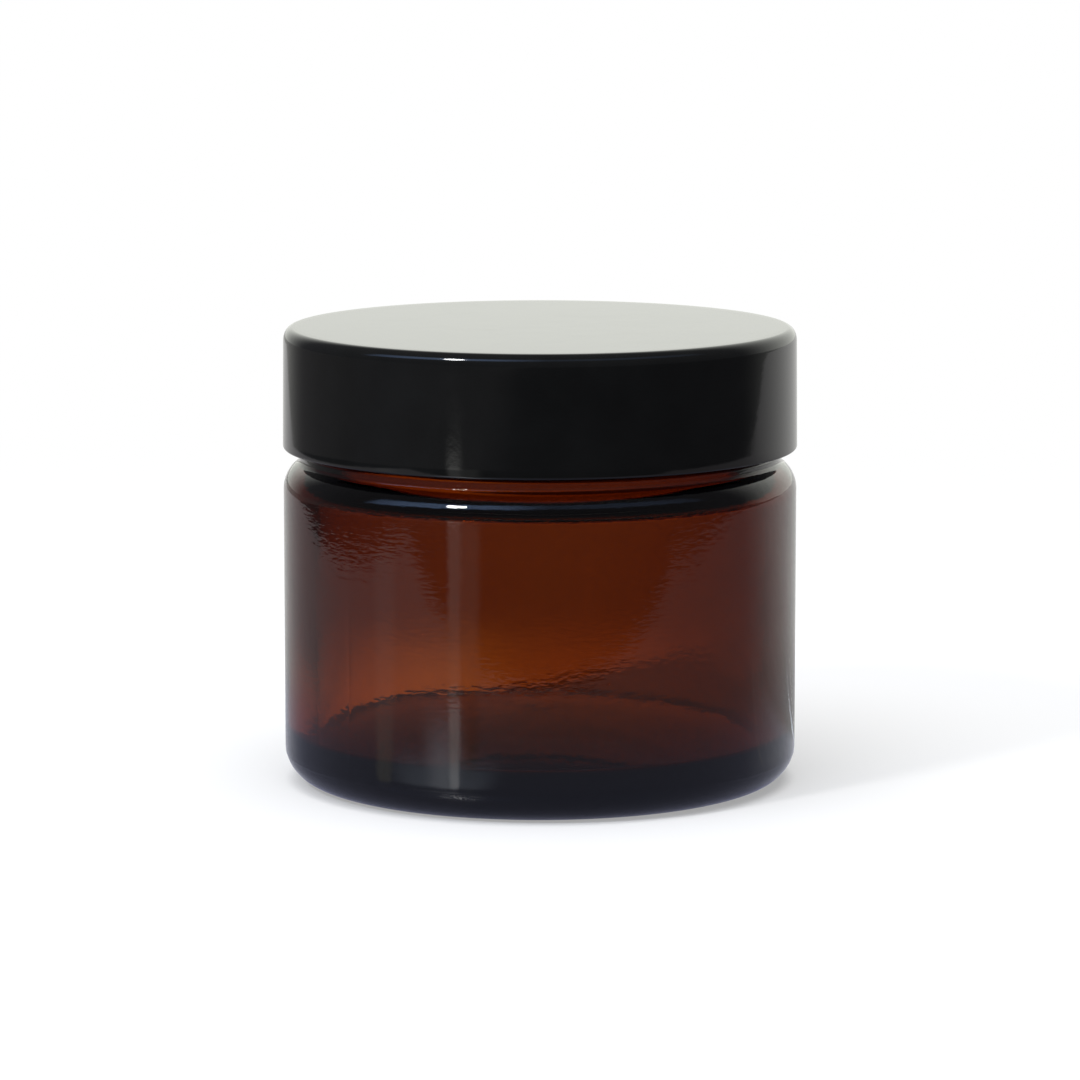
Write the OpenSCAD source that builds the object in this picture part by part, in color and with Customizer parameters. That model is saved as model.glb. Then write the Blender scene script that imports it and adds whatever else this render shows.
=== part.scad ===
// Straight-sided amber glass cream jar with a smooth black screw lid.
// The lid holds a loose sealing wad: a foam disc with a film facing.
// Millimetres, +Z up, origin at the centre of the base, lid screwed down at rest.

/* [Glass body] */
// Outside diameter of the straight glass side
body_d = 56.4; // [55.6:0.1:60]
// Height of the body, up to the crest of its shoulder curve
body_h = 35.9; // [33:0.1:36]
// Radius of the heel, where the side turns into the base
heel_r = 4; // [3:0.1:4.6]
// Radius of the shoulder, where the side turns in to the neck
shoulder_r = 3.5; // [2.8:0.1:3.8]
// Thickness of the glass at the side
wall_t = 3.6; // [2.8:0.1:4]
// Height of the middle of the inside floor above the surface that the jar stands on
floor_h = 8; // [6.6:0.1:9]
// How much higher the inside floor is at its middle than at its side
floor_dome = 2.9; // [1:0.1:3.4]
// Radius of the inside corner between floor and side
floor_r = 0.6; // [0.4:0.1:4]
// Thickness of the glass under the crest of the shoulder
shoulder_t = 3.3; // [2.6:0.1:4]
// Radius of the inside corner between side and shoulder
ceiling_r = 0.8; // [0.4:0.1:1.4]
// Radius of the glass edge where the mouth opens into the hollow
lip_r = 1.2; // [0.4:0.1:1.6]
// Height of the hollow under the base, at its centre
punt_h = 2.2; // [0.6:0.1:2.6]
// Width of the flat ring that the jar stands on
standing_w = 2.6; // [1.6:0.1:4]

/* [Glass neck] */
// Height of the whole glass, up to the rim of the mouth
jar_h = 46.95; // [46.95:0.05:48.5]
// Diameter of the neck wall between the threads
neck_d = 48.4; // [48:0.1:48.8]
// Diameter of the mouth opening
mouth_d = 44.2; // [42:0.1:44.4]
// Diameter of the wide bead at the foot of the neck
bead_d = 52.8; // [52.2:0.1:53.4]
// Gap between the bead and the bottom edge of the lid
bead_gap = 0.25; // [0.15:0.05:0.4]

/* [Screw thread] */
// Rise of the thread in one turn
thread_pitch = 4; // [3.8:0.1:4.2]
// Number of turns of each of the two ridges
thread_turns = 1.25; // [1:0.05:1.3]
// How far the glass ridge stands out of the neck
glass_ridge_h = 1.2; // [1:0.05:1.3]
// How far the lid's ridge stands into its bore
lid_ridge_h = 1.1; // [0.9:0.05:1.2]
// Width of the crest of each ridge
ridge_crest_w = 0.9; // [0.7:0.05:1.1]
// Sideways growth of a ridge's flank for each millimetre of its height
ridge_slope = 0.58; // [0.45:0.01:0.65]
// Play between the glass ridge and the lid's ridge that pulls up against it
ridge_play = 0.15; // [0.1:0.01:0.25]

/* [Lid] */
// Outside diameter of the lid at its bottom edge
lid_d = 56.5; // [56.2:0.1:60]
// Outside diameter of the lid at its top, a little less for mould draft
lid_top_d = 56.3; // [56:0.1:56.4]
// Height of the lid
lid_h = 13.25; // [13.1:0.05:13.25]
// Thickness of the top of the lid
lid_top_t = 2; // [1.7:0.1:2]
// Diameter of the lid's bore between its threads
lid_bore_d = 51.7; // [51.6:0.1:52.2]
// Radius of the rounded top edge
lid_edge_r = 1.2; // [0.4:0.1:1.6]

/* [Liner] */
// Diameter of the sealing wad
liner_d = 51; // [50.4:0.1:51.2]
// Thickness of the wad's foam disc
foam_t = 1.05; // [0.9:0.05:1.3]
// Thickness of the wad's film facing
facing_t = 0.15; // [0.1:0.01:0.2]

/* [Hidden] */
$fn = 96;

// Clearance above and below the wad
seat_gap = 0.025;

body_r = body_d / 2;
cavity_r = body_r - wall_t;
mouth_r = mouth_d / 2;
neck_r = neck_d / 2;
bead_r = bead_d / 2;
bore_r = lid_bore_d / 2;

// Heights of the wad, the lid and the bead, stacked up from the rim
facing_z = jar_h + seat_gap;
foam_z = facing_z + facing_t;
ceiling_z = foam_z + foam_t + seat_gap;
lid_top_z = ceiling_z + lid_top_t;
lid_z = lid_top_z - lid_h;
bead_z = lid_z - bead_gap;

// Height of the underside of the shoulder, inside the glass
cavity_top_z = body_h - shoulder_t;

// Roundings of the glass: bead, rim outside, rim inside
bead_edge_r = 0.5;
rim_out_r = 0.6;
rim_in_r = 0.6;

// Radius of the ball whose cap has this height over a circle of radius r
function cap_ball_r(r, h) = (r * r + h * h) / (2 * h);

// Number of facets round a large ball
ball_fn = 480;
// The hollow under the base and the inside floor are parts of large balls
punt_ball_r = cap_ball_r(body_r - heel_r - standing_w, punt_h);
floor_ball_r = cap_ball_r(cavity_r, floor_dome);
floor_ball_z = floor_h - floor_ball_r;

// The round of the floor's corner rests on that ball and touches the side
corner_reach = floor_ball_r + floor_r;
corner_in_r = cavity_r - floor_r;
corner_z = floor_ball_z + sqrt(pow(corner_reach, 2) - pow(corner_in_r, 2));
corner_touch_r = corner_in_r * floor_ball_r / corner_reach;

// Rounding of the lid's bottom edge and the lead-in of its bore
lid_foot_r = 0.3;
lead_in = 0.5;

// Each ridge is swept in steps and fades out over its first and last ones
steps_a_turn = 48;
ridge_steps = round(thread_turns * steps_a_turn);
fade_steps = 5;
// How deep a ridge is rooted in the wall that carries it
ridge_root = 0.4;
ridge_round = 0.25;
// How far below the rim the middle of the glass ridge ends
ridge_end_drop = 1.95;
glass_ridge_z = jar_h - ridge_end_drop - thread_turns * thread_pitch;
// The lid's ridge runs below the glass ridge, flank to flank
ridge_overlap = glass_ridge_h - (bore_r - lid_ridge_h - neck_r);
ridge_drop = ridge_crest_w + ridge_slope * ridge_overlap + ridge_play;
lid_ridge_z = glass_ridge_z - ridge_drop;

function fade(i) =
    let (t = min(i, ridge_steps - i, fade_steps) / fade_steps)
    t * t * (3 - 2 * t);

// Outline of a ridge of the given height, as [distance from the wall, height]
function ridge_outline(h) =
    let (
        crest = ridge_crest_w / 2,
        foot = crest + ridge_slope * h,
        root = foot + ridge_slope * ridge_root
    )
    [
        [-ridge_root, -root],
        [h - ridge_round, -crest - ridge_slope * ridge_round],
        [h, -crest + ridge_round],
        [h, crest - ridge_round],
        [h - ridge_round, crest + ridge_slope * ridge_round],
        [-ridge_root, root]
    ];

// One cross-section of a ridge, at step i of its helix
function ridge_ring(i, wall_r, side, h, z) =
    let (
        k = fade(i),
        a = 360 * i / steps_a_turn,
        zc = z + thread_pitch * i / steps_a_turn
    )
    [
        for (p = ridge_outline(h))
        let (
            d = p[0] < 0 ? p[0] : p[0] * k - (1 - k) * ridge_root / 2,
            r = wall_r + side * d
        )
        [r * cos(a), r * sin(a), zc + p[1]]
    ];

// A ridge along a helix: side is 1 outside a wall and -1 inside a bore
module ridge(wall_r, side, h, z) {
    n = len(ridge_outline(h));
    last = n * ridge_steps;
    points = [
        for (i = [0 : ridge_steps])
        each ridge_ring(i, wall_r, side, h, z)
    ];
    flanks = [
        for (i = [0 : ridge_steps - 1], j = [0 : n - 1])
        let (
            a = n * i + j,
            b = n * i + (j + 1) % n
        )
        each [[a, b, a + n], [b, b + n, a + n]]
    ];
    ends = [
        for (j = [1 : n - 2])
        each [[0, j + 1, j], [last, last + j, last + j + 1]]
    ];
    polyhedron(points, [
        for (f = concat(flanks, ends))
        side > 0 ? f : [f[0], f[2], f[1]]
    ]);
}

// Half of the outline of a round bar from z = low to z = high, with rounded edges
module bar_outline(r, low, high, low_edge, high_edge) {
    translate([0, low + low_edge]) square([r, high - high_edge - low - low_edge]);
    translate([0, low]) square([r - low_edge, high - high_edge - low]);
    translate([0, low + low_edge]) square([r - high_edge, high - low - low_edge]);
    translate([r - low_edge, low + low_edge]) circle(low_edge);
    translate([r - high_edge, high - high_edge]) circle(high_edge);
}

// Half of the outline that the mouth adds where its edge is rounded, at height z;
// side is 1 where the mouth opens upwards and -1 where it opens downwards
module mouth_edge_outline(z, edge, side) {
    difference() {
        translate([0, side > 0 ? z - edge : z]) square([mouth_r + edge, edge]);
        translate([mouth_r + edge, z - side * edge]) circle(edge);
    }
}

// Half of the outline of the glass, as if it were solid: body, bead and neck
module glass_outside() {
    bar_outline(body_r, 0, body_h, heel_r, shoulder_r);
    bar_outline(bead_r, heel_r, bead_z, bead_edge_r, bead_edge_r);
    bar_outline(neck_r, heel_r, jar_h, rim_out_r, rim_out_r);
}

// Half of the outline of the hollow inside the glass: floor, side, ceiling and mouth
module glass_inside() {
    difference() {
        union() {
            square([corner_touch_r, cavity_top_z]);
            translate([0, corner_z]) square([cavity_r, cavity_top_z - ceiling_r - corner_z]);
            translate([0, corner_z]) square([cavity_r - ceiling_r, cavity_top_z - corner_z]);
            translate([cavity_r - ceiling_r, cavity_top_z - ceiling_r]) circle(ceiling_r);
            translate([0, corner_z]) square([mouth_r, jar_h]);
        }
        translate([0, floor_ball_z]) circle(floor_ball_r, $fn = ball_fn);
    }
    translate([corner_in_r, corner_z]) circle(floor_r);
    mouth_edge_outline(cavity_top_z, lip_r, -1);
    mouth_edge_outline(jar_h, rim_in_r, 1);
}

module glass_jar() {
    color([0.38, 0.14, 0.03]) {
        rotate_extrude() difference() {
            glass_outside();
            glass_inside();
            translate([0, punt_h - punt_ball_r]) circle(punt_ball_r, $fn = ball_fn);
        }
        ridge(neck_r, 1, glass_ridge_h, glass_ridge_z);
    }
}

// Half of the outline of the lid's outer shape
module lid_outside() {
    top_r = lid_top_d / 2;
    foot_r = lid_d / 2;
    polygon([
        [0, lid_z],
        [foot_r - lid_foot_r, lid_z],
        [foot_r, lid_z + lid_foot_r],
        [top_r, lid_top_z - lid_edge_r],
        [0, lid_top_z - lid_edge_r]
    ]);
    translate([0, lid_z + lid_foot_r]) square([top_r - lid_edge_r, lid_h - lid_foot_r]);
    translate([top_r - lid_edge_r, lid_top_z - lid_edge_r]) circle(lid_edge_r);
    translate([foot_r - lid_foot_r, lid_z + lid_foot_r]) circle(lid_foot_r);
}

module screw_lid() {
    color([0.06, 0.06, 0.065]) {
        rotate_extrude() difference() {
            lid_outside();
            polygon([
                [0, lid_z - 1],
                [bore_r + lead_in + 1, lid_z - 1],
                [bore_r, lid_z + lead_in],
                [bore_r, ceiling_z],
                [0, ceiling_z]
            ]);
        }
        ridge(bore_r, -1, lid_ridge_h, lid_ridge_z);
    }
}

module liner_foam() {
    color([0.95, 0.95, 0.93])
        translate([0, 0, foam_z]) cylinder(d = liner_d, h = foam_t);
}

module liner_facing() {
    color([0.98, 0.98, 0.97])
        translate([0, 0, facing_z]) cylinder(d = liner_d, h = facing_t);
}

glass_jar();
screw_lid();
liner_foam();
liner_facing();
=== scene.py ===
"""Looks of the cosmetic cream jar: amber glass, glossy black screw lid and its sealing wad."""

import math

import bpy
import numpy as np
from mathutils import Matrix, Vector, noise


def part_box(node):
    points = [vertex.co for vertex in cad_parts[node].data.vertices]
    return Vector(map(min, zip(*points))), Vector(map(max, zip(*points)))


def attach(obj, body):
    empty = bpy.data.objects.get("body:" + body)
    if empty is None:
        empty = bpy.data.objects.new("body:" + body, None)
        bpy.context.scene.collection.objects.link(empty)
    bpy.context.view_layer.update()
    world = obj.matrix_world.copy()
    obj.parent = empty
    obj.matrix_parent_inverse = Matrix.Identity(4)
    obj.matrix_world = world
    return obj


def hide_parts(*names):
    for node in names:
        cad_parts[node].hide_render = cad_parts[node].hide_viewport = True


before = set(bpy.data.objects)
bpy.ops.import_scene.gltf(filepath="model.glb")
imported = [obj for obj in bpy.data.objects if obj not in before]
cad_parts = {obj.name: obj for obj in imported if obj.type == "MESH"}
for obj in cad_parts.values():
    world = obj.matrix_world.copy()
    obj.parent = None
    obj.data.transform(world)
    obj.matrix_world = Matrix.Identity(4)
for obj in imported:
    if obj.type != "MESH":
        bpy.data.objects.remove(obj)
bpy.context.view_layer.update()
MM = 0.001
FULL_TURN = 2 * math.pi

# ---------------------------------------------------------------- sizes, in millimetres
# The CAD boxes give the outer sizes; the rest repeats the CAD model's own dimensions
glass_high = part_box("glass_jar")[1] / MM
lid_low, lid_high = (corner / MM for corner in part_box("screw_lid"))
foam_low, foam_high = (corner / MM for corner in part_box("liner_foam"))
film_low, film_high = (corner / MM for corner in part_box("liner_facing"))

# Glass, outside
BODY_R = glass_high.x
RIM_Z = glass_high.z
BODY_H = 35.9
HEEL_R = 4.0
SHOULDER_R = 3.5
PUNT_H = 2.2
STANDING_W = 2.6
NECK_R = 24.2
BEAD_R = 26.4
BEAD_Z = lid_low.z - 0.25
BEAD_EDGE_R = 0.5
RIM_EDGE_R = 0.6

# Glass, inside
MOUTH_R = 22.1
LIP_R = 1.2
CAVITY_R = BODY_R - 3.6
CAVITY_TOP_Z = BODY_H - 3.3
CEILING_R = 0.8
FLOOR_H = 8.0
FLOOR_DOME = 2.9
FLOOR_R = 0.6

# Lid; its top edge is a little taller than it is wide, where the CAD edge is a plain round
LID_FOOT_R = lid_high.x
LID_TOP_R = 28.15
LID_EDGE_H = 1.4
LID_EDGE_W = 1.05
LID_FOOT_EDGE_R = 0.3
LID_Z = lid_low.z
LID_TOP_Z = lid_high.z
LID_ROOT_R = 0.4
CEILING_Z = foam_high.z + 0.025
BORE_R = 25.85
LEAD_IN = 0.5
LEAD_IN_EDGE = 0.05

# Thread: a ridge outside the neck and one inside the lid, flank to flank
PITCH = 4.0
TURNS = 1.25
RIDGE_CREST = 0.45
RIDGE_SLOPE = 0.58
RIDGE_PLAY = 0.15
RIDGE_FADE_TURNS = 0.1
GLASS_RIDGE_H = 1.2
LID_RIDGE_H = 1.1
GLASS_RIDGE_Z = RIM_Z - 1.95 - PITCH * TURNS
RIDGE_OVERLAP = GLASS_RIDGE_H - (BORE_R - LID_RIDGE_H - NECK_R)
LID_RIDGE_Z = GLASS_RIDGE_Z - (2 * RIDGE_CREST + RIDGE_SLOPE * RIDGE_OVERLAP + RIDGE_PLAY)

# ---------------------------------------------------------------- fine detail that CAD leaves out
# Hollow fillet where the shoulder meets the bead, and round at the foot of the neck
FILLET_R = 0.9
NECK_FOOT_R = 0.35

# The two mould halves meet in a fine ridge at this azimuth and opposite it
SEAM_AZIMUTH = math.radians(-136.4)
SEAMS = (SEAM_AZIMUTH, SEAM_AZIMUTH + math.pi)
SEAM_HALF_W = math.radians(0.5)
SEAM_CLEAR = math.radians(0.65)
SEAM_H = 0.012
SEAM_END_Z = BODY_H - SHOULDER_R + 0.5
SEAM_FADE = 1.5

# A fine ridge round the heel, where they meet the bottom plate of the mould
PARTING_Z = 3.2
PARTING_H = 0.03
PARTING_HALF_W = 0.2

# Notches across the ring that the jar stands on
NOTCHES = 90
NOTCH_DEPTH = 0.12

# Unevenness of the blown inner surface, coarse to fine: its depth, how often it changes round
# the jar, how far apart it changes up the side, and where the noise starts
UNEVENNESS = (
    (0.10, 1.6, 14.0, (0, 0)),
    (0.030, 5.0, 5.5, (7, 0)),
    (0.006, 12.0, 1.9, (0, 3)),
)
# It starts the first height below the rim, and reaches its full depth the second further down
EVEN_BELOW_RIM = 8.0
EVEN_FADE = 4.0


# ---------------------------------------------------------------- outlines
def arc(centre, radius, start, end, step):
    """Points on an arc in the (r, z) plane, angles in degrees from the +r direction."""
    a, b = math.radians(start), math.radians(end)
    n = max(3, math.ceil(abs(b - a) * radius / step))
    return [
        (centre[0] + radius * math.cos(a + (b - a) * i / n),
         centre[1] + radius * math.sin(a + (b - a) * i / n))
        for i in range(n + 1)
    ]


def line(start, end, step):
    """Points from start to end, end left out."""
    n = max(1, math.ceil(math.dist(start, end) / step))
    return [
        (start[0] + (end[0] - start[0]) * i / n, start[1] + (end[1] - start[1]) * i / n)
        for i in range(n)
    ]


def smooth(t):
    """A smooth rise from 0 to 1 as t goes from 0 to 1."""
    t = min(max(t, 0.0), 1.0)
    return t * t * (3 - 2 * t)


def cap_ball_r(r, h):
    """Radius of the ball whose cap has height h over a circle of radius r."""
    return (r * r + h * h) / (2 * h)


def ridge_height(azimuth, z, first_z, height):
    """How far a helical ridge stands out of its wall at this azimuth and height."""
    best = 0.0
    for turn in range(-1, 3):
        along = azimuth / FULL_TURN + turn
        if not 0 <= along <= TURNS:
            continue
        fade = smooth(min(along, TURNS - along) / RIDGE_FADE_TURNS)
        off = abs(z - first_z - PITCH * along)
        rise = height - max(0.0, off - RIDGE_CREST) / RIDGE_SLOPE
        if rise <= 0:
            continue
        best = max(best, height * smooth(rise / height) * fade)
    return best


# ---------------------------------------------------------------- lathe
def azimuths(count, seams=()):
    """Even steps round the axis, with narrow extra steps at each seam."""
    steps = [FULL_TURN * i / count for i in range(count)]
    for seam in seams:
        seam %= FULL_TURN
        steps = [a for a in steps if abs(a - seam) > SEAM_CLEAR]
        steps += [seam + SEAM_HALF_W * t for t in (-1, -0.5, 0, 0.5, 1)]
    return sorted(steps)


def lathe(name, outline, steps, shift=None):
    """A closed mesh from an outline that starts and ends on the axis.

    shift(i, azimuth, r, z) gives how far point i of the outline moves outwards from the solid.
    """
    pts = np.array(outline)
    tangent = np.gradient(pts, axis=0)
    tangent /= np.linalg.norm(tangent, axis=1)[:, None]
    normal = np.stack([tangent[:, 1], -tangent[:, 0]], axis=1)
    inner = range(1, len(pts) - 1)
    verts = [(0, 0, pts[0][1] * MM)]
    for i in inner:
        for a in steps:
            r, z = pts[i]
            d = shift(i, a, r, z) if shift else 0.0
            r, z = r + d * normal[i][0], z + d * normal[i][1]
            verts.append((r * math.cos(a) * MM, r * math.sin(a) * MM, z * MM))
    verts.append((0, 0, pts[-1][1] * MM))
    n, rows, last = len(steps), len(pts) - 2, len(verts) - 1
    faces = []
    for j in range(n):
        k = (j + 1) % n
        faces.append((0, 1 + k, 1 + j))
        for i in range(rows - 1):
            a, b = 1 + i * n, 1 + (i + 1) * n
            faces.append((a + j, a + k, b + k, b + j))
        top = 1 + (rows - 1) * n
        faces.append((last, top + j, top + k))
    mesh = bpy.data.meshes.new(name)
    mesh.from_pydata(verts, [], faces)
    mesh.validate()
    mesh.polygons.foreach_set("use_smooth", [True] * len(mesh.polygons))
    obj = bpy.data.objects.new(name, mesh)
    bpy.context.scene.collection.objects.link(obj)
    return obj


# ---------------------------------------------------------------- glass
def glass_outside():
    """The section's outer part, from the middle of the underside up and over the rim."""
    side_z = BODY_H - SHOULDER_R
    foot_r = BODY_R - HEEL_R
    punt_r = foot_r - STANDING_W
    punt_ball_r = cap_ball_r(punt_r, PUNT_H)
    under = [
        (r, PUNT_H - punt_ball_r + math.sqrt(punt_ball_r ** 2 - r * r))
        for r in np.linspace(0, punt_r, num=24)
    ]
    ring = line((punt_r, 0), (foot_r, 0), step=0.4)[1:]
    heel = arc((foot_r, HEEL_R), HEEL_R, -90, 0, step=0.1)
    side = line((BODY_R, HEEL_R), (BODY_R, side_z), step=0.8)[1:]

    # The shoulder turns in until it meets the hollow fillet, which ends upright at the bead
    reach = SHOULDER_R + FILLET_R
    across = BEAD_R + FILLET_R - (BODY_R - SHOULDER_R)
    turn = math.degrees(math.acos(across / reach))
    fillet_z = side_z + reach * math.sin(math.radians(turn))
    shoulder = arc((BODY_R - SHOULDER_R, side_z), SHOULDER_R, 0, turn, step=0.2)
    hollow = arc((BEAD_R + FILLET_R, fillet_z), FILLET_R, 180 + turn, 180, step=0.08)[1:]
    bead = arc((BEAD_R - BEAD_EDGE_R, BEAD_Z - BEAD_EDGE_R), BEAD_EDGE_R, 0, 90, step=0.1)

    neck_z = BEAD_Z + NECK_FOOT_R
    rim_z = RIM_Z - RIM_EDGE_R
    neck_foot = arc((NECK_R + NECK_FOOT_R, neck_z), NECK_FOOT_R, -90, -180, step=0.12)
    neck = line((NECK_R, neck_z), (NECK_R, rim_z), step=0.16)[1:]
    rim = arc((NECK_R - RIM_EDGE_R, rim_z), RIM_EDGE_R, 0, 90, step=0.12)
    rim += arc((MOUTH_R + RIM_EDGE_R, rim_z), RIM_EDGE_R, 90, 180, step=0.12)
    return under + ring + heel + side + shoulder + hollow + bead + neck_foot + neck + rim


def glass_inside():
    """The section's inner part, from below the rim down to the middle of the domed floor."""
    side_top = CAVITY_TOP_Z - CEILING_R
    lip_z = CAVITY_TOP_Z + LIP_R
    mouth = line((MOUTH_R, RIM_Z - RIM_EDGE_R), (MOUTH_R, lip_z), step=0.7)[1:]
    lip = arc((MOUTH_R + LIP_R, lip_z), LIP_R, 180, 270, step=0.12)
    ceiling_end = (CAVITY_R - CEILING_R, CAVITY_TOP_Z)
    ceiling = line((MOUTH_R + LIP_R, CAVITY_TOP_Z), ceiling_end, step=0.2)[1:]
    shoulder = arc((CAVITY_R - CEILING_R, side_top), CEILING_R, 90, 0, step=0.1)

    # The round of the corner rests on the floor's ball and touches the side
    ball_r = cap_ball_r(CAVITY_R, FLOOR_DOME)
    ball_z = FLOOR_H - ball_r
    corner_in_r = CAVITY_R - FLOOR_R
    corner_z = ball_z + math.sqrt((ball_r + FLOOR_R) ** 2 - corner_in_r ** 2)
    lean = math.degrees(math.asin(corner_in_r / (ball_r + FLOOR_R)))
    side = line((CAVITY_R, side_top), (CAVITY_R, corner_z), step=0.6)[1:]
    corner = arc((corner_in_r, corner_z), FLOOR_R, 0, -90 - lean, step=0.07)
    floor = [
        (r, ball_z + math.sqrt(ball_r ** 2 - r * r))
        for r in np.linspace(corner[-1][0], 0, num=40)
    ][1:]
    return mouth + lip + ceiling + shoulder + side + corner + floor


def seam_height(a, z):
    """How far the mould seams stand out of the side; they fade out towards the shoulder."""
    fade = smooth((SEAM_END_Z - z) / SEAM_FADE)
    offs = (abs((a - seam + math.pi) % FULL_TURN - math.pi) for seam in SEAMS)
    return max(SEAM_H * fade * smooth(1 - off / SEAM_HALF_W) for off in offs)


def outer_shift(a, r, z):
    """Thread, mould seams, the ridge round the heel and the notches of the standing ring."""
    on_neck = BEAD_Z + 0.4 < z < RIM_Z - 0.9
    on_side = HEEL_R - 0.2 < z < BODY_H and r > BEAD_R + 0.2
    on_standing_ring = z < 0.05 and r > BODY_R - HEEL_R - STANDING_W + 0.2
    if on_neck:
        return ridge_height(a, z, GLASS_RIDGE_Z, GLASS_RIDGE_H)
    out = seam_height(a, z) if on_side else 0.0
    out += PARTING_H * smooth(1 - abs(z - PARTING_Z) / PARTING_HALF_W)
    if on_standing_ring:
        out -= NOTCH_DEPTH * (0.5 + 0.5 * math.cos(NOTCHES * a))
    return out


def inner_shift(a, z):
    """The unevenness of the blown inner surface."""
    x, y = math.cos(a), math.sin(a)
    out = 0.0
    for depth, around, upwards, (start_x, start_y) in UNEVENNESS:
        place = Vector((x * around + start_x, y * around + start_y, z / upwards))
        out += depth * noise.noise(place)
    return smooth((RIM_Z - EVEN_BELOW_RIM - z) / EVEN_FADE) * out


def glass_jar():
    outside = glass_outside()

    def shift(i, a, r, z):
        return outer_shift(a, r, z) if i < len(outside) else inner_shift(a, z)

    return lathe("jar_glass", outside + glass_inside(), azimuths(360, SEAMS), shift)


# ---------------------------------------------------------------- lid and wad
def lid_outline():
    """The lid's section, from the middle of its ceiling round to the middle of its top."""
    root_r, root_z = BORE_R - LID_ROOT_R, CEILING_Z - LID_ROOT_R
    ceiling = [(r, CEILING_Z) for r in np.linspace(0, root_r, num=14)]
    root = arc((root_r, root_z), LID_ROOT_R, 90, 0, step=0.12)[1:]
    bore = line((BORE_R, root_z), (BORE_R, LID_Z + LEAD_IN), step=0.16)[1:]
    lead_r = BORE_R + LEAD_IN
    lead = line((BORE_R, LID_Z + LEAD_IN), (lead_r, LID_Z + LEAD_IN_EDGE), step=0.1)
    foot_r, foot_z = LID_FOOT_R - LID_FOOT_EDGE_R, LID_Z + LID_FOOT_EDGE_R
    foot = line((lead_r + LEAD_IN_EDGE, LID_Z), (foot_r, LID_Z), step=0.4)
    foot += arc((foot_r, foot_z), LID_FOOT_EDGE_R, -90, 0, step=0.08)
    side_top = LID_TOP_Z - LID_EDGE_H
    side = line((LID_FOOT_R, foot_z), (LID_TOP_R, side_top), step=0.9)[1:]
    edge = [
        (LID_TOP_R - LID_EDGE_W * (1 - math.cos(a)), side_top + LID_EDGE_H * math.sin(a))
        for a in np.linspace(0, math.pi / 2, num=20)
    ]
    top = [(r, LID_TOP_Z) for r in np.linspace(LID_TOP_R - LID_EDGE_W, 0, num=26)][1:]
    return ceiling + root + bore + lead + foot + side + edge + top


def lid_shift(i, a, r, z):
    """The thread, which stands inwards into the bore."""
    on_bore = abs(r - BORE_R) < 0.01 and LID_Z + 0.5 < z < CEILING_Z - 0.5
    return ridge_height(a, z, LID_RIDGE_Z, LID_RIDGE_H) if on_bore else 0.0


def disc(name, low, high, edge):
    """A round disc that fills this CAD box, its edges rounded with radius edge."""
    flat_r = high.x - edge
    under = [(r, low.z) for r in np.linspace(0, flat_r, num=30)]
    lower = arc((flat_r, low.z + edge), edge, -90, 0, step=edge)
    upper = arc((flat_r, high.z - edge), edge, 0, 90, step=edge)
    top = [(r, high.z) for r in np.linspace(flat_r, 0, num=30)][1:]
    return lathe(name, under + lower[1:] + upper + top, azimuths(180))


# ---------------------------------------------------------------- materials
# What the glass lets through of each colour, and how strongly it absorbs the rest
AMBER = (0.684, 0.404, 0.032, 1)
AMBER_DENSITY = 950.0
GLASS_IOR = 1.52
PLASTIC_IOR = 1.5


def new_material(name):
    mat = bpy.data.materials.new(name)
    mat.use_nodes = True
    tree = mat.node_tree
    return mat, tree, tree.nodes["Principled BSDF"]


def add(tree, kind, values=None, **settings):
    """A node of this kind; values maps its inputs to numbers, colours or other nodes' outputs."""
    node = tree.nodes.new(kind)
    for key, value in settings.items():
        setattr(node, key, value)
    for key, value in (values or {}).items():
        if isinstance(value, bpy.types.NodeSocket):
            tree.links.new(value, node.inputs[key])
        else:
            node.inputs[key].default_value = value
    return node


def object_noise(tree, scale, stretch=(1, 1, 1), detail=2.0, roughness=0.5):
    """Noise fixed to the object, in features of 1/scale metres, stretched along its axes."""
    coords = add(tree, "ShaderNodeTexCoord").outputs["Object"]
    mapping = add(tree, "ShaderNodeMapping", {"Vector": coords, "Scale": stretch})
    return add(tree, "ShaderNodeTexNoise", {
        "Vector": mapping.outputs[0], "Scale": scale, "Detail": detail, "Roughness": roughness,
    }).outputs["Fac"]


def tone_between(tree, shader, factor, first, second):
    """Lets the base colour vary from first to second with factor."""
    tone = add(tree, "ShaderNodeMixRGB", {"Fac": factor, "Color1": first, "Color2": second})
    tree.links.new(tone.outputs[0], shader.inputs["Base Color"])


def add_bump(tree, shader, height, distance, strength=1.0):
    """Lets height, in units of distance metres, bend the shading."""
    values = {"Height": height, "Strength": strength, "Distance": distance}
    bump = add(tree, "ShaderNodeBump", values)
    tree.links.new(bump.outputs[0], shader.inputs["Normal"])
    return bump


def amber_glass():
    """Clear glass, coloured by its thickness, with fine ripples on a wider swell."""
    mat, tree, shader = new_material("amber_glass")
    shader.inputs["Base Color"].default_value = (1, 1, 1, 1)
    shader.inputs["Transmission Weight"].default_value = 1.0
    shader.inputs["IOR"].default_value = GLASS_IOR
    shader.inputs["Roughness"].default_value = 0.0
    ripples = object_noise(tree, 900, (1.0, 1.0, 2.6))
    swell = object_noise(tree, 150, (0.8, 0.8, 1.0), detail=1.0)
    fine = add(tree, "ShaderNodeBump", {"Height": ripples, "Strength": 1.0, "Distance": 9.5e-6})
    wide = add_bump(tree, shader, swell, 1.6e-5)
    tree.links.new(fine.outputs[0], wide.inputs["Normal"])
    volume = add(tree, "ShaderNodeVolumeAbsorption", {"Color": AMBER, "Density": AMBER_DENSITY})
    tree.links.new(volume.outputs[0], tree.nodes["Material Output"].inputs["Volume"])
    return mat


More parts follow.
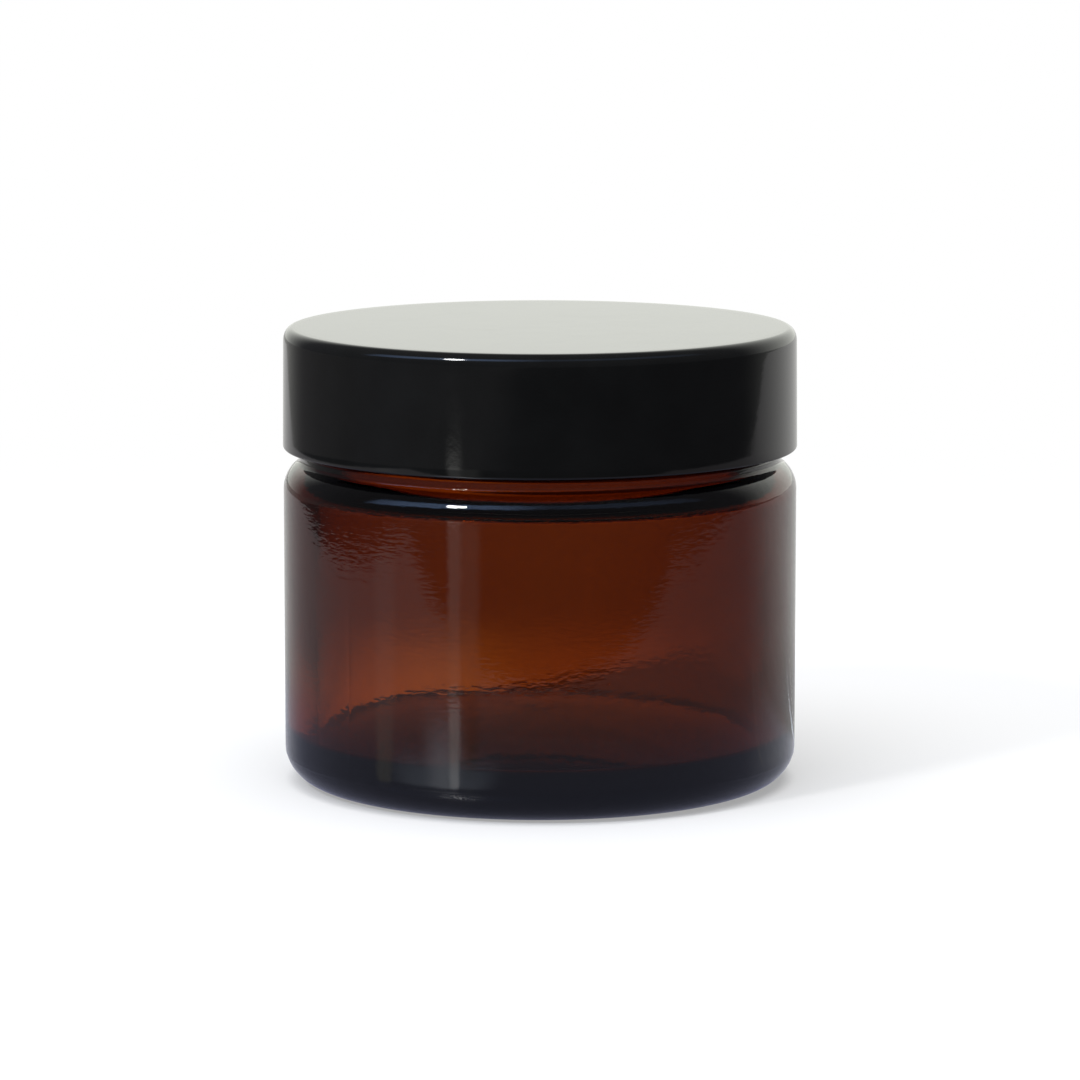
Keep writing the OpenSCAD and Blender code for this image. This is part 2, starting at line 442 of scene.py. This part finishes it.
def black_plastic():
    """Glossy moulded plastic, faintly clouded in tone and gloss, with a very fine orange peel."""
    mat, tree, shader = new_material("black_lid")
    shader.inputs["IOR"].default_value = PLASTIC_IOR
    cloud = object_noise(tree, 160, detail=4.0, roughness=0.6)
    tone_between(tree, shader, cloud, (0.0030, 0.0032, 0.0030, 1), (0.0100, 0.0104, 0.0101, 1))
    gloss = add(tree, "ShaderNodeMapRange", {
        "Value": cloud, "From Min": 0.3, "From Max": 0.7, "To Min": 0.05, "To Max": 0.10,
    })
    tree.links.new(gloss.outputs[0], shader.inputs["Roughness"])
    add_bump(tree, shader, object_noise(tree, 1400, detail=3.0), 3e-6)
    return mat


def white_foam():
    """Closed-cell foam: small round cells, darker between them."""
    mat, tree, shader = new_material("white_foam")
    shader.inputs["Roughness"].default_value = 0.75
    coords = add(tree, "ShaderNodeTexCoord").outputs["Object"]
    cells = add(tree, "ShaderNodeTexVoronoi", {"Scale": 2600.0, "Vector": coords})
    from_middle = cells.outputs["Distance"]
    tone_between(tree, shader, from_middle, (0.86, 0.86, 0.83, 1), (0.70, 0.70, 0.66, 1))
    add_bump(tree, shader, from_middle, 6e-5, strength=0.6)
    return mat


def liner_film():
    """A satin white film, slightly cloudy and uneven."""
    mat, tree, shader = new_material("liner_film")
    cloud = object_noise(tree, 220, detail=3.0)
    tone_between(tree, shader, cloud, (0.80, 0.80, 0.77, 1), (0.88, 0.88, 0.86, 1))
    gloss = add(tree, "ShaderNodeMapRange", {"Value": cloud, "To Min": 0.22, "To Max": 0.38})
    tree.links.new(gloss.outputs[0], shader.inputs["Roughness"])
    add_bump(tree, shader, object_noise(tree, 900), 2e-5, strength=0.5)
    return mat


# ---------------------------------------------------------------- values worked out by nodes
def maths(tree, operation, *values):
    """The result of one Math node; values are numbers or outputs."""
    return add(tree, "ShaderNodeMath", dict(enumerate(values)), operation=operation).outputs[0]


def ramp(tree, value, low, high, start=0.0, end=1.0):
    """A smooth change from start at low to end at high; low may be above high."""
    return add(tree, "ShaderNodeMapRange", {
        "Value": value, "From Min": low, "From Max": high, "To Min": start, "To Max": end,
    }, interpolation_type="SMOOTHSTEP").outputs[0]


def product(tree, *values):
    """The product of two or more values."""
    result = values[0]
    for value in values[1:]:
        result = maths(tree, "MULTIPLY", result, value)
    return result


def mix(tree, factor, first, second):
    """The colour between first and second; each is a colour or an output."""
    colours = [c if isinstance(c, bpy.types.NodeSocket) else (*c, 1) for c in (first, second)]
    return add(tree, "ShaderNodeMixRGB", {
        "Fac": factor, "Color1": colours[0], "Color2": colours[1],
    }).outputs[0]


# ---------------------------------------------------------------- camera
CAMERA_LENS = 175.9
CAMERA_PLACE = (0.0, -0.5756, 0.11297)
CAMERA_DIP = math.radians(8.548)


def make_camera():
    data = bpy.data.cameras.new("camera")
    data.sensor_width = 36.0
    data.lens = CAMERA_LENS
    data.clip_start = 0.01
    camera = bpy.data.objects.new("camera", data)
    camera.location = CAMERA_PLACE
    camera.rotation_euler = (math.pi / 2 - CAMERA_DIP, 0.0, 0.0)
    bpy.context.scene.collection.objects.link(camera)
    bpy.context.scene.camera = camera


# ---------------------------------------------------------------- floor, in metres
# Painted light and shade that the floor gives off itself, as the glass and the lid mirror it and as
# the glass shows it: sunlit patches, shadows, glow and paths of light; to the camera itself the
# floor is plain
UNLIT = (0.02, 0.02, 0.022)
UNLIT_FAR_LEFT = (0.09, 0.085, 0.085)
# Painted shade: the floor under the jar, dark as the glass shows it through its base
UNDER_JAR_PAINTED_SHADE = (0.05, 0.05, 0.06)
SUNLIT_RIGHT = (0.215, 0.205, 0.215)
SUNLIT_LEFT = (0.36, 0.345, 0.36)
SUNLIT_BACK = (0.36, 0.35, 0.36)
# Painted shade near the jar, lit bluish by the sky
SKYLIT_SHADE_NEAR_JAR = (0.24, 0.25, 0.35)
JAR_SHADOW = (0.10, 0.10, 0.12)
GLOW_RIGHT = (1.80, 1.75, 1.30)
GLOW_LEFT = (1.85, 2.70, 1.50)

# Distances from the axis at which each of these starts, and at which it is full
CLEAR_OF_JAR = (0.034, 0.047)
NEAR_FOOT = (0.072, 0.050)
NEAR_JAR = (0.112, 0.088)
AROUND_JAR = (0.105, 0.050)
# BLUER_NEAR_JAR is where the painted, sky-lit shade near the jar fades in
BLUER_NEAR_JAR = (0.095, 0.045)
BEHIND_JAR = (0.125, 0.045)
FAR_OUT = (0.262, 0.285)
# PAST_UNDERSIDE is where the painted shade under the jar gives way to the rest of the floor
PAST_UNDERSIDE = (0.0244, 0.0256)

# The sunlit patch: its left side, the slope and place of its right side, and its front edge,
# which lies further out left of FRONT_TURN; then half the width of its sides' soft edges
PATCH_LEFT = -0.200
PATCH_RIGHT = (0.77, 0.26)
PATCH_FRONT = (-0.112, -0.126)
FRONT_TURN = (-0.060, -0.105)
SIDE_EDGE = 0.006
FRONT_EDGE = 0.005

# The line between the glow and the shadow behind the jar: its slope on the right and what that
# gains left of the axis, how far behind the axis it passes, and half its soft edge's width
SHADOW_SLOPE = 0.73
SHADOW_BEND = 0.55
SHADOW_Y = 0.0635
SHADOW_EDGE = 0.004

# Paths of light that lead away from the jar: azimuth in degrees (0 towards the camera, negative
# to its left), start, half width for each metre of length, length, softness of the sides
SOFT_PATH = (-31.5, (-0.0076, -0.0271), 0.085, 0.25, 0.5)
POOL_PATH = (-42.0, (-0.0100, -0.0260), 0.60, 0.05, 0.5)
WIDE_PATH = (-43.0, (-0.0104, -0.0262), 0.16, 0.10, 0.9)
MAIN_PATH = (-38.2, (-0.0092, -0.0266), 0.056, 0.30, 0.5)
LEFT_PATH = (-73.0, (-0.0169, -0.0225), 0.10, 0.20, 0.5)
SOFT_LIGHT = (0.21, 0.21, 0.20)
POOL_LIGHT = (0.58, 0.64, 0.80)
WIDE_LIGHT = (1.15, 1.22, 1.40)
MAIN_LIGHT = (1.1, 1.1, 1.05)
MAIN_LIGHT_FAR_LEFT = (0.44, 0.44, 0.43)
MAIN_LIGHT_NEAR = (1.30, 1.28, 1.30)
MAIN_LIGHT_FOOT = (2.0, 2.05, 2.2)
LEFT_LIGHT = (0.46, 0.45, 0.46)


def path_of_light(tree, x, y, azimuth, start, width, reach, softness):
    """A straight path that leads away from start and widens."""
    a = math.radians(azimuth)
    dx, dy = maths(tree, "SUBTRACT", x, start[0]), maths(tree, "SUBTRACT", y, start[1])
    along_y = maths(tree, "MULTIPLY", dy, -math.cos(a))
    along = maths(tree, "MULTIPLY_ADD", dx, math.sin(a), along_y)
    across_y = maths(tree, "MULTIPLY", dy, math.sin(a))
    across = maths(tree, "MULTIPLY_ADD", dx, math.cos(a), across_y)
    off, length = maths(tree, "ABSOLUTE", across), maths(tree, "MAXIMUM", along, 0.001)
    spread = maths(tree, "DIVIDE", off, length)
    return product(
        tree, ramp(tree, spread, width * (1 + softness), width * (1 - softness)),
        ramp(tree, along, reach * 1.2, reach),
    )


def sunlit_patch(tree, x, y):
    """Where the sun reaches: straight on the left, slanted on the right, further out front left."""
    right_side = maths(tree, "SUBTRACT", x, maths(tree, "MULTIPLY_ADD", y, *PATCH_RIGHT))
    front = maths(tree, "SUBTRACT", y, ramp(tree, x, *FRONT_TURN, *PATCH_FRONT))
    return product(
        tree, ramp(tree, x, PATCH_LEFT - SIDE_EDGE, PATCH_LEFT + SIDE_EDGE),
        ramp(tree, right_side, SIDE_EDGE, -SIDE_EDGE), ramp(tree, front, -FRONT_EDGE, FRONT_EDGE),
    )


def sunlit_tone(tree, x, y, from_axis):
    """The patch: brighter on the left, bluer near the jar, with shadow and glow behind it."""
    tone = mix(tree, ramp(tree, x, 0.03, -0.09), SUNLIT_RIGHT, SUNLIT_LEFT)
    tone = mix(tree, ramp(tree, y, 0.02, 0.14, 0.0, 0.7), tone, SUNLIT_BACK)
    # Near the jar the patch is painted as shade lit bluish by the sky
    tone = mix(tree, ramp(tree, from_axis, *BLUER_NEAR_JAR), tone, SKYLIT_SHADE_NEAR_JAR)

    # Right of a line that bends at the middle, the jar's shadow; left of it the sun comes
    # through the glass. That glow shows through the glass and isn't mirrored by its outside
    left_x = maths(tree, "MINIMUM", x, 0.0)
    bend = maths(tree, "MULTIPLY_ADD", left_x, SHADOW_BEND, SHADOW_Y)
    lit_side = maths(tree, "SUBTRACT", y, maths(tree, "MULTIPLY_ADD", x, SHADOW_SLOPE, bend))
    behind = product(tree, ramp(tree, y, 0.016, 0.028), ramp(tree, from_axis, *BEHIND_JAR))
    shadow = product(tree, behind, ramp(tree, lit_side, SHADOW_EDGE, -SHADOW_EDGE))
    mirrored = add(tree, "ShaderNodeLightPath").outputs["Is Reflection Ray"]
    through = maths(tree, "SUBTRACT", 1.0, mirrored)
    glow = product(
        tree, behind, ramp(tree, lit_side, -SHADOW_EDGE, SHADOW_EDGE),
        ramp(tree, x, 0.000, -0.020, 0.55, 1.0), ramp(tree, x, 0.050, 0.020),
        ramp(tree, x, -0.085, -0.058), through,
    )
    tone = mix(tree, shadow, tone, JAR_SHADOW)
    return mix(tree, glow, tone, mix(tree, ramp(tree, x, 0.005, -0.015), GLOW_RIGHT, GLOW_LEFT))


def floor_light(tree, coords):
    """How light the floor is, as the glass and the lid mirror it and as the glass shows it.

    A sunlit patch starts in front of the jar and widens towards the back; the floor is painted
    dark further in front and in painted shade under the jar, and the jar's shadow is painted
    falling to the back right. Bright paths of painted light lead away from the jar, to the front
    left and to the left.
    """
    split = add(tree, "ShaderNodeSeparateXYZ", {"Vector": coords})
    x, y = split.outputs["X"], split.outputs["Y"]
    length = add(tree, "ShaderNodeVectorMath", {0: coords}, operation="LENGTH")
    from_axis = length.outputs["Value"]

    patch = sunlit_patch(tree, x, y)
    far_left = product(tree, ramp(tree, from_axis, *FAR_OUT), ramp(tree, x, -0.06, -0.18))
    unlit = mix(tree, far_left, UNLIT, UNLIT_FAR_LEFT)
    tone = mix(tree, patch, unlit, sunlit_tone(tree, x, y, from_axis))

    clear = ramp(tree, from_axis, *CLEAR_OF_JAR)
    foot = ramp(tree, from_axis, *NEAR_FOOT)
    soft = product(tree, path_of_light(tree, x, y, *SOFT_PATH), clear)
    tone = mix(tree, soft, tone, SOFT_LIGHT)
    pool = product(tree, path_of_light(tree, x, y, *POOL_PATH), clear, foot)
    tone = mix(tree, pool, tone, POOL_LIGHT)
    around = ramp(tree, from_axis, *AROUND_JAR)
    wide = product(tree, path_of_light(tree, x, y, *WIDE_PATH), around, clear)
    tone = mix(tree, wide, tone, WIDE_LIGHT)
    main_far = mix(tree, far_left, MAIN_LIGHT_FAR_LEFT, MAIN_LIGHT)
    main_near = mix(tree, foot, MAIN_LIGHT_NEAR, MAIN_LIGHT_FOOT)
    main_light = mix(tree, ramp(tree, from_axis, *NEAR_JAR), main_far, main_near)
    main = product(tree, path_of_light(tree, x, y, *MAIN_PATH), clear)
    tone = mix(tree, main, tone, main_light)
    left = product(tree, path_of_light(tree, x, y, *LEFT_PATH), patch, clear)
    tone = mix(tree, left, tone, LEFT_LIGHT)
    # Under the jar the floor is painted in shade
    return mix(tree, ramp(tree, from_axis, *PAST_UNDERSIDE), UNDER_JAR_PAINTED_SHADE, tone), from_axis


def make_floor():
    """A plain pale floor for the camera; the glass and the lid see it as floor_light gives it."""
    mesh = bpy.data.meshes.new("floor")
    reach = 3.0
    corners = [(-reach, -reach, 0), (reach, -reach, 0), (reach, reach, 0), (-reach, reach, 0)]
    mesh.from_pydata(corners, [], [(0, 1, 2, 3)])
    floor = bpy.data.objects.new("floor", mesh)
    bpy.context.scene.collection.objects.link(floor)
    mat, tree, shader = new_material("floor")
    coords = add(tree, "ShaderNodeTexCoord").outputs["Object"]

    # The floor gives off this painted light and shade itself, for every ray but the camera's
    tone, from_axis = floor_light(tree, coords)
    glow = add(tree, "ShaderNodeEmission", {"Color": tone})
    shader.inputs["Base Color"].default_value = (0, 0, 0, 1)
    shader.inputs["Roughness"].default_value = 0.25
    # mirrored: the black gloss floor with that painted light and shade glowing from it
    mirrored = add(tree, "ShaderNodeAddShader", {0: shader.outputs[0], 1: glow.outputs[0]})

    # Shaded by the lights near the jar, and evenly white further away
    pale = add(tree, "ShaderNodeBsdfDiffuse", {"Color": (0.86, 0.86, 0.86, 1)})
    white = add(tree, "ShaderNodeEmission", {"Color": (1, 1, 1, 1)})
    away = ramp(tree, from_axis, 0.04, 0.30, 0.35, 1.0)
    plain = add(tree, "ShaderNodeMixShader", {0: away, 1: pale.outputs[0], 2: white.outputs[0]})
    seen = add(tree, "ShaderNodeLightPath").outputs["Is Camera Ray"]
    both = add(tree, "ShaderNodeMixShader", {0: seen, 1: mirrored.outputs[0], 2: plain.outputs[0]})
    tree.links.new(both.outputs[0], tree.nodes["Material Output"].inputs["Surface"])
    mesh.materials.append(mat)


# ---------------------------------------------------------------- room and lights
ROOM = (0.10, 0.10, 0.11, 1)
BLUE_SKY = (0.80, 1.15, 1.90, 1)
WINDOW_WALL = (1.19, 1.21, 1.13, 1)
BACKGROUND = (1, 1, 1, 1)


def make_world():
    """A dim room, with a bright window wall behind and a skylight of blue sky in front."""
    world = bpy.data.worlds.new("studio")
    world.use_nodes = True
    bpy.context.scene.world = world
    tree = world.node_tree
    direction = add(tree, "ShaderNodeTexCoord").outputs["Generated"]
    split = add(tree, "ShaderNodeSeparateXYZ", {"Vector": direction})
    x, y, z = (split.outputs[axis] for axis in "XYZ")
    behind = ramp(tree, maths(tree, "MULTIPLY_ADD", x, 0.26, y), 0.43, 1.03)

    # A slanted skylight, from high in front to lower on the left, bluest at the front left
    slant = maths(tree, "MULTIPLY_ADD", y, 0.289, maths(tree, "MULTIPLY_ADD", x, -0.083, z))
    band = product(tree, ramp(tree, slant, 0.40, 0.47), ramp(tree, slant, 0.69, 0.61))
    leftwards = ramp(tree, x, 0.10, -0.38, 0.18, 1.0)
    forwards = product(tree, ramp(tree, y, 0.05, -0.38, 0.35, 1.0), ramp(tree, y, 0.02, -0.08))
    skylight = product(tree, band, product(tree, leftwards, forwards))
    room = add(tree, "ShaderNodeMixRGB", {"Fac": skylight, "Color1": ROOM, "Color2": BLUE_SKY})
    around = add(tree, "ShaderNodeMixRGB", {
        "Fac": behind, "Color1": room.outputs[0], "Color2": WINDOW_WALL,
    })

    # The camera sees a plain white background
    seen = add(tree, "ShaderNodeLightPath").outputs["Is Camera Ray"]
    colour = add(tree, "ShaderNodeMixRGB", {
        "Fac": seen, "Color1": around.outputs[0], "Color2": BACKGROUND,
    })
    tree.links.new(colour.outputs[0], tree.nodes["Background"].inputs["Color"])


def area_light(name, shape, size, energy, azimuth, elevation, distance):
    """An area light aimed at the jar's middle; azimuth 0 is towards the camera."""
    data = bpy.data.lights.new(name, "AREA")
    data.shape = shape
    data.size = size
    data.energy = energy
    light = bpy.data.objects.new(name, data)
    bpy.context.scene.collection.objects.link(light)
    a, e = math.radians(azimuth), math.radians(elevation)
    way = Vector((math.sin(a) * math.cos(e), -math.cos(a) * math.cos(e), math.sin(e)))
    light.location = Vector((0, 0, 0.025)) + distance * way
    light.rotation_euler = way.to_track_quat("Z", "Y").to_euler()
    return light


def make_lights():
    """A small key light that makes the highlights, and a large softbox above that makes none."""
    area_light("key", "DISK", size=0.126, energy=2.4, azimuth=-43.5, elevation=40, distance=0.9)
    softbox = area_light(
        "softbox", "SQUARE", size=1.4, energy=22.0, azimuth=-20, elevation=80, distance=1.3,
    )
    softbox.visible_glossy = False
    softbox.visible_transmission = False


# ---------------------------------------------------------------- build
make_camera()
make_world()
make_floor()
make_lights()

jar = glass_jar()
jar.data.materials.append(amber_glass())
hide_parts("glass_jar")
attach(jar, "jar")

lid = lathe("lid_shell", lid_outline(), azimuths(288), lid_shift)
lid.data.materials.append(black_plastic())
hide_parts("screw_lid")
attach(lid, "lid")

foam = disc("liner_foam_disc", foam_low, foam_high, edge=0.12)
foam.data.materials.append(white_foam())
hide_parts("liner_foam")
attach(foam, "liner")

film = disc("liner_film_disc", film_low, film_high, edge=0.04)
film.data.materials.append(liner_film())
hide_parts("liner_facing")
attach(film, "liner")

bpy.context.scene.view_settings.view_transform = "Standard"
